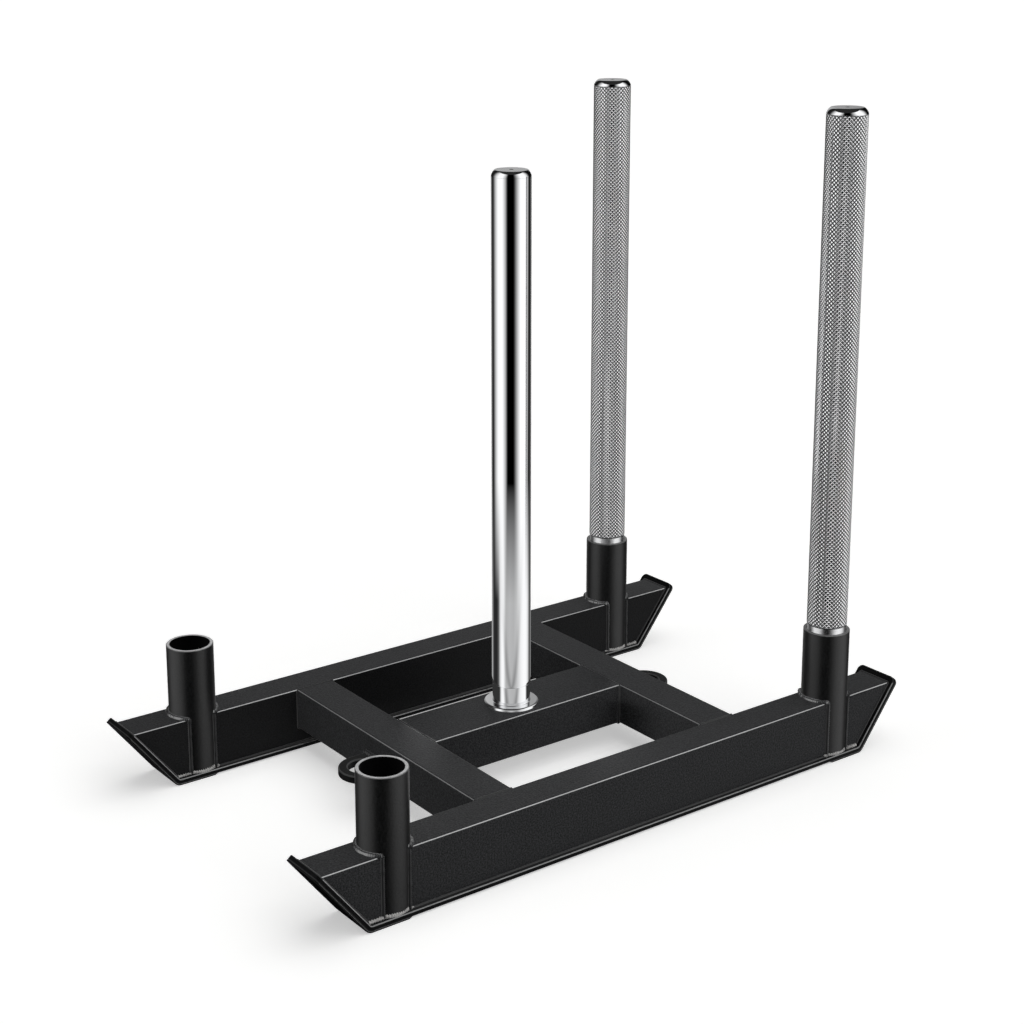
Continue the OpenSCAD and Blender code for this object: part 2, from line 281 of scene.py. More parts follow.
def knurled_chrome(name, looks):
    """Plate on the knurling: bright diamonds, painted shade down in the grooves."""
    f = new_finish(name)
    groove = f.add("ShaderNodeAttribute", {"attribute_name": "groove"}, out=2)
    here = f.place()
    haze = f.noise(here, 30, 4)
    fine = f.noise(here, 1400, 3)
    # Painted shade: the groove bottoms are darkened nearly to black.
    groove_shade = f.ramp(groove + haze * 0.2 - 0.1, (0.45, 0.0), (0.95, 1.0))
    colour = f.mix(haze * 0.15, tuple(looks.bright), toned(looks.bright, 0.6))
    colour = f.mix(groove_shade * 0.95, colour, (0.012, 0.012, 0.013))
    roughness = 0.06 + 0.2 * groove_shade + 0.05 * haze
    height = f.bump(fine, 0.00002, 0.4)
    return f.surface(f.add("ShaderNodeBsdfPrincipled", None, Base_Color=colour, Metallic=1.0,
                           Roughness=roughness, Normal=height))


def turned_chrome(name, looks):
    """Plate over the turned end of a cap: fine rings and a duller tone."""
    f = new_finish(name)
    here = f.place()
    rings = f.noise(here, 1300, 3, 0.7)
    haze = f.noise(here, 60, 4)
    colour = f.mix(rings * 0.5 + haze * 0.3, tuple(looks.bright), toned(looks.bright, 0.6))
    return f.surface(f.add("ShaderNodeBsdfPrincipled", None, Base_Color=colour, Metallic=1.0,
                           Roughness=0.22 + 0.15 * rings, Normal=f.bump(rings, 0.00003, 0.5)))


def ground_steel(name, looks):
    """Bare rim, ground flat: fine crossing scratches, a little uneven in tone."""
    f = new_finish(name)
    across = f.noise(f.place((1, 0.04, 1)), 1500, 3, 0.7)
    along = f.noise(f.place((0.06, 1, 1)), 1300, 3, 0.7)
    tone = f.noise(f.place(), 45, 4)
    scratch = across * 0.55 + along * 0.45
    lines = f.ramp(scratch, (0.35, 0.0), (0.7, 1.0))
    colour = f.mix(lines, toned(looks.ground, 0.6), toned(looks.ground, 1.35))
    colour = f.mix(f.ramp(tone, (0.5, 0.0), (0.75, 0.5)), colour, toned(looks.ground, 0.4))
    height = f.bump(scratch, 0.00005, 0.7)
    return f.surface(f.add("ShaderNodeBsdfPrincipled", None, Base_Color=colour, Metallic=0.75,
                           Roughness=0.38 + 0.2 * scratch, Normal=height))


def zinc_plate(name):
    """Zinc plate on the bolt and washers: grey with a faint warm bloom."""
    f = new_finish(name)
    here = f.place()
    bloom = f.noise(here, 160, 4)
    turned = f.noise(f.place((1, 1, 0.1)), 1200, 3, 0.7)
    colour = f.mix(bloom, (0.45, 0.455, 0.47), (0.58, 0.56, 0.50))
    height = f.bump(turned, 0.00004, 0.5)
    return f.surface(f.add("ShaderNodeBsdfPrincipled", None, Base_Color=colour, Metallic=0.95,
                           Roughness=0.30 + 0.18 * turned, Normal=height))


def moulded_plastic(name):
    """Black moulded plastic of the foot plugs, scuffed where it stands on the runner."""
    f = new_finish(name)
    here = f.place()
    spark = f.noise(here, 1100, 4, 0.6)
    scuff = f.ramp(f.noise(here, 120, 5, 0.7), (0.55, 0.0), (0.75, 1.0))
    colour = f.mix(scuff * 0.5, (0.012, 0.012, 0.013), (0.06, 0.06, 0.062))
    return f.surface(f.add("ShaderNodeBsdfPrincipled", None, Base_Color=colour, Roughness=0.5 + 0.15 * scuff,
                           IOR=1.47, Normal=f.bump(spark, 0.0001, 0.6)))


FINISHES = {}


def finish_of(name):
    """Makes a finish the first time it is asked for."""
    looks = bpy.context.scene.sled_finish
    makers = {
        "grained_coat": lambda: powder_coat("grained_coat", looks, 1.6, 1.6, 0.44, 0.14),
        "plate_coat": lambda: powder_coat("plate_coat", looks, 0.2, 0.5, 0.34, 0.08),
        "socket_coat": lambda: powder_coat("socket_coat", looks, 0.35, 0.4, 0.27, 0.6),
        # Near-black coat, a painted shade for the inside of the bores and the caps' centre marks.
        "bore_shade_coat": lambda: powder_coat("bore_shade_coat", looks, 0.1, 0.4, 0.6, 0.03),
        "bead_coat": lambda: bead_coat("bead_coat", looks),
        "seam_coat": lambda: bead_coat("seam_coat", looks, 0.4, 0.0, 0.3, 1.35),
        "pale_bead": lambda: bead_coat("pale_bead", looks, 1.0, 1.0, 0.35, 1.5),
        "chrome": lambda: chrome("chrome", looks),
        "knurled_chrome": lambda: knurled_chrome("knurled_chrome", looks),
        "turned_chrome": lambda: turned_chrome("turned_chrome", looks),
        "ground_steel": lambda: ground_steel("ground_steel", looks),
        "zinc_plate": lambda: zinc_plate("zinc_plate"),
        "moulded_plastic": lambda: moulded_plastic("moulded_plastic"),
    }
    if name not in FINISHES:
        FINISHES[name] = makers[name]()
    return FINISHES[name]


# Mesh helpers

def tidy_shape(bm):
    bmesh.ops.remove_doubles(bm, verts=bm.verts, dist=0.01 * MM)
    bmesh.ops.recalc_face_normals(bm, faces=bm.faces)


def layer(bm, name):
    return bm.faces.layers.float.get(name) or bm.faces.layers.float.new(name)


def piece(name, bm, finishes, body, slot, nodes=(), angle=32.0, weighted=True):
    """Turns a bmesh into a finished piece that rides a body and stands for its nodes.

    The black pieces stay out of the reflections, so the chrome shows the white cards down to its foot.
    """
    mesh = bpy.data.meshes.new(name)
    bm.to_mesh(mesh)
    bm.free()
    for finish in finishes:
        mesh.materials.append(finish_of(finish))
    mesh.polygons.foreach_set("use_smooth", [True] * len(mesh.polygons))
    mesh.set_sharp_from_angle(angle=math.radians(angle))
    made = bpy.data.objects.new(name, mesh)
    bpy.context.scene.collection.objects.link(made)
    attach(made, body)
    if nodes:
        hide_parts(*nodes)
    if slot == "black_powder_coat":
        made.visible_glossy = False
        group_of("coated_pieces").objects.link(made)
    if weighted:
        made.modifiers.new("even_normals", "WEIGHTED_NORMAL").keep_sharp = True
    return made


def group_of(name):
    """Collection of the pieces that a lamp or card is kept for."""
    return bpy.data.collections.get(name) or bpy.data.collections.new(name)


def solid_copy(node):
    """The node's own shape, merged, with its flat faces made whole again."""
    bm = bmesh.new()
    bm.from_mesh(frame["nodes"][node].data)
    bmesh.ops.remove_doubles(bm, verts=bm.verts, dist=0.001 * MM)
    bmesh.ops.dissolve_limit(bm, angle_limit=math.radians(0.3), verts=bm.verts, edges=bm.edges)
    return bm


def round_edges(bm, size, above=30.0, segments=3, rub_highlight=0.18):
    """Rounds the sharp edges and marks the new faces for a painted highlight with some rub wear, most of all
    those that look up into the light.
    """
    mark = layer(bm, "edge")
    sharp = [e for e in bm.edges if e.is_manifold and e.calc_face_angle(0) > math.radians(above)]
    made = bmesh.ops.bevel(bm, geom=sharp, offset=size, offset_type="OFFSET", segments=segments, profile=0.5,
                           affect="EDGES", clamp_overlap=True, material=-1)
    bm.normal_update()
    for face in made["faces"]:
        # Faces that look up get the full mark, a painted highlight where the light falls.
        paler = face.normal.z > 0.15 and face.calc_center_median().z < FRAME_TOP - 2 * MM
        face[mark] = rub_highlight if paler else 0.12 * rub_highlight


def mark_corner_highlights(bm, along, rub_highlight=1.0):
    """Marks the middle of the rounded corners of a box tube that runs along one axis for a painted highlight
    line with some rub wear.
    """
    mark = layer(bm, "edge")
    bm.normal_update()
    across = [k for k in range(3) if k != along]
    for face in bm.faces:
        n = face.normal
        if abs(n[along]) < 0.05:
            face[mark] = rub_highlight * min(1.0, (2 * abs(n[across[0]] * n[across[1]])) ** 18)


def turned(outline, centre=(0, 0), steps=96):
    """Spins an outline of (radius, height) points round an upright axis."""
    bm = bmesh.new()
    points = [bm.verts.new((r, 0, z)) for r, z in outline]
    edges = [bm.edges.new(pair) for pair in zip(points, points[1:])]
    if outline[0][0] > 0:
        edges.append(bm.edges.new((points[-1], points[0])))
    bmesh.ops.spin(bm, geom=points + edges, cent=(0, 0, 0), axis=(0, 0, 1), dvec=(0, 0, 0), angle=2 * math.pi,
                   steps=steps, use_merge=True)
    tidy_shape(bm)
    bmesh.ops.translate(bm, verts=bm.verts, vec=(centre[0], centre[1], 0))
    return bm


def swept_bead(bm, path, radius, ripple=0.12, pitch=2.6 * MM, seed=0.0, flat=1.0, outward=None):
    """Sweeps a rippled round bead along a path of points, and closes both ends."""
    points = [Vector(p) for p in path]
    gone = 0.0
    ring = first = before = None
    for k, point in enumerate(points):
        ahead = points[min(k + 1, len(points) - 1)] - points[max(k - 1, 0)]
        ahead.normalize()
        if k:
            gone += (point - points[k - 1]).length
        side = outward[k] if outward else Vector((1, 0, 0)) if abs(ahead.z) > 0.7 else Vector((0, 0, 1))
        side = (side - ahead * side.dot(ahead)).normalized()
        lump = noise.noise(point * 160 + Vector((seed, 0, 0)))
        wave = 1 + ripple * math.sin(gone / pitch * 2 * math.pi) + 1.3 * ripple * lump
        size = radius * wave * (0.45 if k in (0, len(points) - 1) else 1.0)
        turn = Matrix((side, ahead.cross(side), ahead)).transposed().to_4x4()
        place = Matrix.Translation(point) @ turn @ Matrix.Diagonal((size * flat, size, 1, 1))
        if ring is None:
            made = bmesh.ops.create_circle(bm, cap_ends=False, radius=1, segments=10, matrix=place)
            first = made["verts"]
            ring = list({e for v in first for e in v.link_edges})
        else:
            grown = bmesh.ops.extrude_edge_only(bm, edges=ring)["geom"]
            verts = [g for g in grown if isinstance(g, bmesh.types.BMVert)]
            edges = [g for g in grown if isinstance(g, bmesh.types.BMEdge)]
            ring = [e for e in edges if all(v in verts for v in e.verts)]
            bmesh.ops.transform(bm, matrix=place @ before.inverted(), verts=verts)
        before = place
    bmesh.ops.contextual_create(bm, geom=ring)
    bmesh.ops.contextual_create(bm, geom=list({e for v in first for e in v.link_edges if e.is_boundary}))


def line(a, b, step=1.0 * MM):
    """Points from one place to another, about a step apart."""
    a, b = Vector(a), Vector(b)
    count = max(2, int((b - a).length / step))
    return [a.lerp(b, k / count) for k in range(count + 1)]


def arc(centre, radius, z, start, stop, step=1.0 * MM):
    """Points on a level circle between two angles in degrees."""
    a, b = math.radians(start), math.radians(stop)
    count = max(2, int(abs(b - a) * radius / step))
    return [Vector((centre[0] + radius * math.cos(a + (b - a) * k / count),
                    centre[1] + radius * math.sin(a + (b - a) * k / count), z)) for k in range(count + 1)]


def lift_point(side, end, z):
    """Where the sloped end of a rail is, at a height."""
    sy = ENDS[end]
    lo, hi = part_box(f"{side}_{end}_rail_end")
    tip = hi.y if sy > 0 else lo.y
    verts = [v.co for v in frame["nodes"][f"{side}_{end}_rail_end"].data.vertices]
    foot = max(sy * v.y for v in verts if v.z < RAIL_Z + 0.5 * MM) * sy
    return foot + (tip - foot) * (z - RAIL_Z) / (FRAME_TOP - RAIL_Z)


# The pieces

class SLED_OT_frame(bpy.types.Operator):
    """Coats rails, runners, shoes, beams and tow eyes, and rounds their cut edges"""
    bl_idname = "sled.frame"
    bl_label = "Coat the Frame"

    def execute(self, context):
        sizes = context.scene.sled_sizes
        tubes = {"front_cross_beam": 0, "rear_cross_beam": 0, "centre_beam": 1}
        for side in SIDES:
            tubes[f"{side}_rail"] = 1
            for end in ENDS:
                tubes[f"{side}_{end}_rail_end"] = 1
        for node, along in tubes.items():
            bm = solid_copy(node)
            mark_corner_highlights(bm, along, 0.4 if "cross" in node else 1.0)
            # Faces that look toward the sled's middle are marked inner, for painted shade.
            inner = layer(bm, "inner")
            for face in bm.faces:
                face[inner] = face.normal.x * face.calc_center_median().x < -0.15
            piece(f"{node}_coated", bm, ["grained_coat"], "frame", "black_powder_coat", [node])
        for side in SIDES:
            bm = solid_copy(f"{side}_runner")
            round_edges(bm, sizes.edge, rub_highlight=0.42)
            piece(f"{side}_runner_coated", bm, ["plate_coat"], "frame", "black_powder_coat",
                  [f"{side}_runner"])
            for end in ENDS:
                bm = solid_copy(f"{side}_{end}_shoe")
                round_edges(bm, 0.5 * sizes.edge)
                piece(f"{side}_{end}_shoe_coated", bm, ["plate_coat"], "frame", "black_powder_coat",
                      [f"{side}_{end}_shoe"])
        for end in ENDS:
            bm = solid_copy(f"{end}_tow_eye")
            round_edges(bm, 1.6 * sizes.edge, segments=4, rub_highlight=0.08)
            piece(f"{end}_tow_eye_coated", bm, ["plate_coat"], "frame", "black_powder_coat",
                  [f"{end}_tow_eye"])
        return {"FINISHED"}


class SLED_OT_sockets(bpy.types.Operator):
    """Turns the four sockets, coated outside and in, with a ground rim on the front two"""
    bl_idname = "sled.sockets"
    bl_label = "Turn the Sockets"

    def execute(self, context):
        rim, lip = 0.8 * MM, 0.3 * MM
        for side, sx in SIDES.items():
            for end, sy in ENDS.items():
                bm = turned([(SOCKET_BORE, RAIL_Z), (SOCKET_R, RAIL_Z), (SOCKET_R, SOCKET_TOP - rim),
                             (SOCKET_R - rim, SOCKET_TOP), (SOCKET_BORE + lip, SOCKET_TOP),
                             (SOCKET_BORE, SOCKET_TOP - lip)], (sx * RAIL_X, sy * SOCKET_Y), 128)
                mark = layer(bm, "edge")
                for face in bm.faces:
                    place = face.calc_center_median() - Vector((sx * RAIL_X, sy * SOCKET_Y, 0))
                    on_rim = place.z > SOCKET_TOP - TOUCH
                    in_bore = math.hypot(place.x, place.y) < SOCKET_BORE + TOUCH
                    # The bore takes the near-black painted shade.
                    face.material_index = 2 if in_bore else int(on_rim and end == "front")
                    # A faint painted highlight line, with some rub wear, on the rim's chamfer.
                    face[mark] = 0.18 * (place.z > SOCKET_TOP - rim)
                finishes = ["socket_coat", "ground_steel", "bore_shade_coat"]
                piece(f"{side}_{end}_socket_coated", bm, finishes, "frame", "black_powder_coat",
                      [f"{side}_{end}_socket"], 25)
        return {"FINISHED"}


class SLED_OT_welds(bpy.types.Operator):
    """Lays the weld beads: round the sockets, along the rails, and at the beams and tow eyes"""
    bl_idname = "sled.welds"
    bl_label = "Lay the Welds"

    def execute(self, context):
        sizes = context.scene.sled_sizes
        self.socket_beads(sizes)
        self.rail_seams(sizes)
        self.beam_beads(sizes)
        self.eye_beads(sizes)
        return {"FINISHED"}

    def beads(self, name, bm, finish):
        """Finishes one piece of weld beads on the frame."""
        piece(name, bm, [finish], "frame", "black_powder_coat", angle=60, weighted=False)

    def socket_beads(self, sizes):
        """A bead over each rail top and down both sides of the socket, and a pale one at its foot."""
        half = math.degrees(math.asin(RAIL_HALF / SOCKET_R))
        reach = SOCKET_R + 0.3 * sizes.bead
        for side, sx in SIDES.items():
            for end, sy in ENDS.items():
                cx, cy = sx * RAIL_X, sy * SOCKET_Y
                over, down = bmesh.new(), bmesh.new()
                for way in (1, -1):
                    top = arc((cx, cy), reach, FRAME_TOP + 0.1 * sizes.bead, way * 90 - half, way * 90 + half)
                    swept_bead(over, top, sizes.bead, seed=cx + cy + way)
                    y = cy + way * (RAIL_DROP + 0.35 * sizes.bead)
                    for edge in (1, -1):
                        x = cx + edge * (RAIL_HALF + 0.1 * sizes.bead)
                        path = line((x, y, FRAME_TOP + 0.2 * sizes.bead), (x, y, RAIL_Z))
                        swept_bead(down, path, 0.8 * sizes.bead, seed=x + y,
                                   outward=[Vector((edge, 0, 0))] * len(path))
                self.beads(f"{side}_{end}_socket_beads", over, "bead_coat")
                self.beads(f"{side}_{end}_side_beads", down, "seam_coat")
                self.foot_bead(side, end, half)

    def foot_bead(self, side, end, half):
        """The bead where a socket and the rail ends beside it stand on the runner."""
        sx, sy = SIDES[side], ENDS[end]
        cx, cy = sx * RAIL_X, sy * SOCKET_Y
        open_half = 90 - half + 6
        beside, z = RAIL_DROP + 1.5 * MM, RAIL_Z + 1.4 * MM
        bend = abs(lift_point(side, end, RAIL_Z)) + 1 * MM
        inward = SOCKET_Y - beside
        bm = bmesh.new()
        for edge, out in ((0, 1), (180, -1)):
            foot = arc((cx, cy), SOCKET_R - 0.1 * MM, RAIL_Z + 1.1 * MM, edge - open_half, edge + open_half,
                       0.6 * MM)
            swept_bead(bm, foot, 1.25 * MM, 0.3, 2.9 * MM, seed=cx - cy + edge, flat=2.2)
            x = cx + out * (RAIL_HALF + 0.9 * MM)
            for near, far in ((SOCKET_Y + beside, bend), (inward, inward - 4 * MM)):
                path = line((x, sy * near, z), (x, sy * far, z), 0.8 * MM)
                swept_bead(bm, path, 1.9 * MM, 0.35, 3.4 * MM, seed=near + x)
        self.beads(f"{side}_{end}_foot_bead", bm, "pale_bead")

    def rail_seams(self, sizes):
        """Thin beads between rails and runners, and where a rail end meets the turned-up plate."""
        size, pitch = 0.8 * sizes.seam, 5.2 * MM
        z = RAIL_Z + 0.15 * sizes.seam
        inner_y, outer_y = SOCKET_Y - RAIL_DROP, SOCKET_Y + RAIL_DROP
        for side, sx in SIDES.items():
            bm = bmesh.new()
            for edge in (1, -1):
                x = sx * RAIL_X + edge * (RAIL_HALF + 0.05 * sizes.seam)
                seam = line((x, -inner_y, z), (x, inner_y, z), 2.0 * MM)
                swept_bead(bm, seam, size, 0.08, pitch, seed=x)
                for end, sy in ENDS.items():
                    foot, tip = (lift_point(side, end, height) for height in (RAIL_Z, FRAME_TOP))
                    seam = line((x, sy * outer_y, z), (x, foot, z), 2.0 * MM)
                    seam += line((x, foot, z), (x, tip, FRAME_TOP), 2.0 * MM)[1:]
                    swept_bead(bm, seam, size, 0.08, pitch, seed=x + sy,
                               outward=[Vector((edge, 0, 0))] * len(seam))
            for end in ENDS:
                y = lift_point(side, end, FRAME_TOP)
                left, right = sx * RAIL_X - RAIL_HALF, sx * RAIL_X + RAIL_HALF
                seam = line((left, y, FRAME_TOP), (right, y, FRAME_TOP), 1.5 * MM)
                swept_bead(bm, seam, size, 0.08, pitch, seed=y)
            self.beads(f"{side}_rail_seams", bm, "seam_coat")

    def beam_beads(self, sizes):
        """Beads up both sides and under each beam's end, with a thin one on top."""
        bm = bmesh.new()
        for end in ENDS:
            lo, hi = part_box(f"{end}_cross_beam")
            for x in (lo.x, hi.x):
                self.collar(bm, lambda u, z, x=x: Vector((x, u, z)), lo.y, hi.y, lo.z, hi.z, sizes.seam)
        lo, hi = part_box("centre_beam")
        for y in (lo.y, hi.y):
            self.collar(bm, lambda u, z, y=y: Vector((u, y, z)), lo.x, hi.x, lo.z, hi.z, sizes.seam)
        self.beads("beam_beads", bm, "seam_coat")

    def collar(self, bm, at, low, high, bottom, top, radius):
        """One bead up a beam's side, over its top, down the other side and back under it."""
        for path, size in ((line(at(low, bottom), at(low, top - 0.5 * radius)), radius),
                           (line(at(high, bottom), at(high, top - 0.5 * radius)), radius),
                           (line(at(low, bottom), at(high, bottom)), radius),
                           (line(at(low, top - 0.25 * radius), at(high, top - 0.25 * radius)), 0.6 * radius)):
            swept_bead(bm, path, size, 0.14, 2.8 * MM, seed=path[0].x + path[0].y)

    def eye_beads(self, sizes):
        """Beads above and below each tow eye, and up its two edges."""
        bm = bmesh.new()
        for end, sy in ENDS.items():
            lo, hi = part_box(f"{end}_tow_eye")
            face = lo.y if sy > 0 else hi.y
            y = face + sy * 0.3 * sizes.bead
            for z in (lo.z - 0.1 * sizes.bead, hi.z + 0.1 * sizes.bead):
                path = line((lo.x - 1 * MM, y, z), (hi.x + 1 * MM, y, z), 0.8 * MM)
                swept_bead(bm, path, 1.05 * sizes.bead, 0.2, 4.2 * MM, seed=z)
            for x in (lo.x, hi.x):
                swept_bead(bm, line((x, y, lo.z), (x, y, hi.z), 0.8 * MM), sizes.bead, 0.2, 3.0 * MM, seed=x)
        self.beads("tow_eye_beads", bm, "seam_coat")


class SLED_OT_post(bpy.types.Operator):
    """Turns the bright plate post: flanged hub, tube and cap"""
    bl_idname = "sled.post"
    bl_label = "Turn the Post"

    def execute(self, context):
        finishes = ["chrome", "turned_chrome", "bore_shade_coat"]
        tube_lo, tube_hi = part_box("post_tube")
        cap_lo, cap_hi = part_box("post_cap")
        cap = capped(cap_lo, cap_hi, tube_hi.z, POST_R, POST_R - TUBE_WALL - PLUG_PLAY, 4.4 * MM, (0, 0))
        for node, bm, coats in (("post_hub", self.hub(tube_lo.z), finishes[:1]),
                                ("post_tube", self.tube(tube_lo.z, tube_hi.z), finishes[:1]),
                                ("post_cap", cap, finishes)):
            made = piece(f"{node}_bright", bm, coats, "frame", "chrome_plate", [node], 30)
            group_of("post_pieces").objects.link(made)
        return {"FINISHED"}

    def hub(self, joint):
        """Flange, neck up to the joint with the tube, and the spigot and thread inside it."""
        lo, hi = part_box("post_hub")
        rim_r, neck_r, spigot_r = tenth(hi.x), POST_R - 0.5 * MM, POST_R - TUBE_WALL - PLUG_PLAY
        bolt_r, thread_r = 8.05 * MM, 4 * MM
        foot, flange = lo.z, lo.z + 4 * MM
        return turned([(bolt_r, foot), (rim_r - 0.3 * MM, foot), (rim_r, foot + 0.3 * MM),
                       (rim_r, flange - 1.6 * MM), (rim_r - 0.5 * MM, flange - 0.9 * MM),
                       (rim_r - 1.6 * MM, flange - 0.15 * MM), (rim_r - 2.4 * MM, flange),
                       (neck_r + 1.2 * MM, flange), (neck_r + 0.35 * MM, flange + 0.35 * MM),
                       (neck_r, flange + 1.2 * MM), (neck_r, joint - 0.5 * MM), (neck_r - 0.5 * MM, joint),
                       (spigot_r, joint), (spigot_r, hi.z - 1 * MM), (spigot_r - 1 * MM, hi.z),
                       (thread_r, hi.z), (thread_r, foot + 25 * MM), (bolt_r, foot + 23 * MM)], (0, 0), 160)

    def tube(self, low, high):
        """The post's tube, its foot broken wide at the joint and its top a little."""
        bore_r, slight = POST_R - TUBE_WALL, 0.15 * MM
        return turned([(bore_r, low), (POST_R - 0.5 * MM, low), (POST_R - slight, low + slight),
                       (POST_R, low + 0.5 * MM), (POST_R, high - slight), (POST_R - slight, high),
                       (bore_r, high)], (0, 0), 160)


def capped(lo, hi, seat, radius, plug, slope, centre):
    """Turns a cap with rounded chamfer edges and a small centre mark."""
    rise = hi.z - seat - 0.8 * MM
    mark_r, mark_depth, bends = 2.7 * MM, 1.7 * MM, 10
    outline = [(0, lo.z), (plug - 0.5 * MM, lo.z), (plug, lo.z + 0.5 * MM), (plug, seat),
               (radius - 0.2 * MM, seat), (radius, seat + 0.2 * MM)]
    for k in range(bends + 1):
        part = k / bends
        inward = slope * (0.5 * part + 0.5 * (1 - math.cos(part * math.pi / 2)))
        upward = rise * (0.5 * part + 0.5 * math.sin(part * math.pi / 2))
        outline.append((radius - inward, hi.z - rise + upward))
    outline += [(radius - slope - 0.6 * MM, hi.z), (mark_r, hi.z), (mark_r - 0.3 * MM, hi.z - 0.2 * MM),
                (0, hi.z - mark_depth)]
    bm = turned(outline, centre, 160)
    for face in bm.faces:
        place = face.calc_center_median()
        out = math.hypot(place.x - centre[0], place.y - centre[1])
        in_mark = out < mark_r - TOUCH and place.z > hi.z - mark_depth - 0.3 * MM
        on_end = face.normal.z > 0.95 and place.z > hi.z - TOUCH
        # The centre mark takes the third finish, the near-black painted shade.
        face.material_index = 2 if in_mark else int(on_end)
    return bm


class SLED_OT_handles(bpy.types.Operator):
    """Turns and knurls the two lift-out handles"""
    bl_idname = "sled.handles"
    bl_label = "Knurl the Handles"

    def execute(self, context):
        for side, sx in SIDES.items():
            self.handle(context.scene.sled_sizes, side, (sx * RAIL_X, SOCKET_Y))
        return {"FINISHED"}

    def handle(self, sizes, side, centre):
        lo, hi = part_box(f"{side}_handle_tube")
        cap_lo, cap_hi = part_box(f"{side}_handle_cap")
        grip_r, shank_r, bore_r = tenth((hi.x - lo.x) / 2), POST_R, POST_R - TUBE_WALL
        start = SOCKET_TOP + 7 * MM
        low, high = start + 1.4 * MM, hi.z - 0.3 * MM
        core, collar_r = grip_r - sizes.depth - 0.25 * MM, grip_r - 0.1 * MM
        body, tube_node = f"{side}_handle", f"{side}_handle_tube"
        shank = turned([(bore_r, lo.z), (shank_r, lo.z), (shank_r, start),
                        (grip_r - 0.2 * MM, start + 0.8 * MM), (grip_r, start + 1.2 * MM), (grip_r, low),
                        (core, low), (core, high), (collar_r, high), (collar_r, hi.z), (bore_r, hi.z)],
                       centre, 128)
        grip = self.knurling(sizes, grip_r, core, low, high, centre)
        top = capped(cap_lo, cap_hi, hi.z, grip_r, bore_r - PLUG_PLAY, 5.6 * MM, centre)
        piece(f"{side}_handle_shank", shank, ["turned_chrome"], body, "chrome_plate", [tube_node], 30)
        piece(f"{side}_grip", grip, ["knurled_chrome"], body, "chrome_plate", [tube_node], 20,
              weighted=False)
        piece(f"{side}_handle_top", top, ["chrome", "turned_chrome", "bore_shade_coat"], body, "chrome_plate",
              [f"{side}_handle_cap"], 30)

    def knurling(self, sizes, outer, inner, low, high, centre):
        """Sleeve of raised diamonds between crossing grooves."""
        around = sizes.knurls
        rows = round((high - low) * around / (2 * math.pi * outer))
        bm = bmesh.new()
        mark = bm.verts.layers.float.new("groove")
        bmesh.ops.create_grid(bm, x_segments=around, y_segments=rows, size=0.5)
        for v in bm.verts:
            angle, height = v.co.x * 2 * math.pi, low + (v.co.y + 0.5) * (high - low)
            v.co = Vector((outer * math.cos(angle), outer * math.sin(angle), height))
        bmesh.ops.remove_doubles(bm, verts=bm.verts, dist=0.05 * MM)
        squares = [e for e in bm.edges if not e.is_boundary]
        bmesh.ops.poke(bm, faces=bm.faces)
        bmesh.ops.dissolve_edges(bm, edges=squares)
        diamonds = list(bm.faces)
        bmesh.ops.inset_individual(bm, faces=diamonds, thickness=sizes.groove, depth=0, use_even_offset=True)
        raised = {v for f in diamonds for v in f.verts}
        for v in bm.verts:
            v[mark] = float(v not in raised)
            self.set_radius(v, outer - sizes.depth * v[mark])
        rims = []
        for level in (low, high):
            ring = [e for e in bm.edges if e.is_boundary
                    and all(abs(v.co.z - level) < 0.01 * MM for v in e.verts)]
            grown = bmesh.ops.extrude_edge_only(bm, edges=ring)["geom"]
            for v in grown:
                if isinstance(v, bmesh.types.BMVert):
                    self.set_radius(v, inner)
            rims += [g for g in grown if isinstance(g, bmesh.types.BMEdge) and g.is_boundary]
        bmesh.ops.bridge_loops(bm, edges=rims)
        bmesh.ops.recalc_face_normals(bm, faces=bm.faces)
        bmesh.ops.translate(bm, verts=bm.verts, vec=(centre[0], centre[1], 0))
        return bm

    def set_radius(self, v, radius):
        """Moves a vertex out or in, at its own height."""
        scale = radius / math.hypot(v.co.x, v.co.y)
        v.co = Vector((v.co.x * scale, v.co.y * scale, v.co.z))


class SLED_OT_fittings(bpy.types.Operator):
    """Gives the bolt, washers, spacer and foot plugs their finishes"""
    bl_idname = "sled.fittings"
    bl_label = "Finish the Fittings"

    def execute(self, context):
        for nodes, finish in ((("post_bolt", "post_washer", "post_lock_washer", "post_spacer"), "zinc_plate"),
                              (("left_foot_plug", "right_foot_plug"), "moulded_plastic")):
            for node in nodes:
                solid = frame["nodes"][node]
                for slot in solid.material_slots:
                    slot.material = finish_of(finish)
        return {"FINISHED"}


# Floor, light and camera

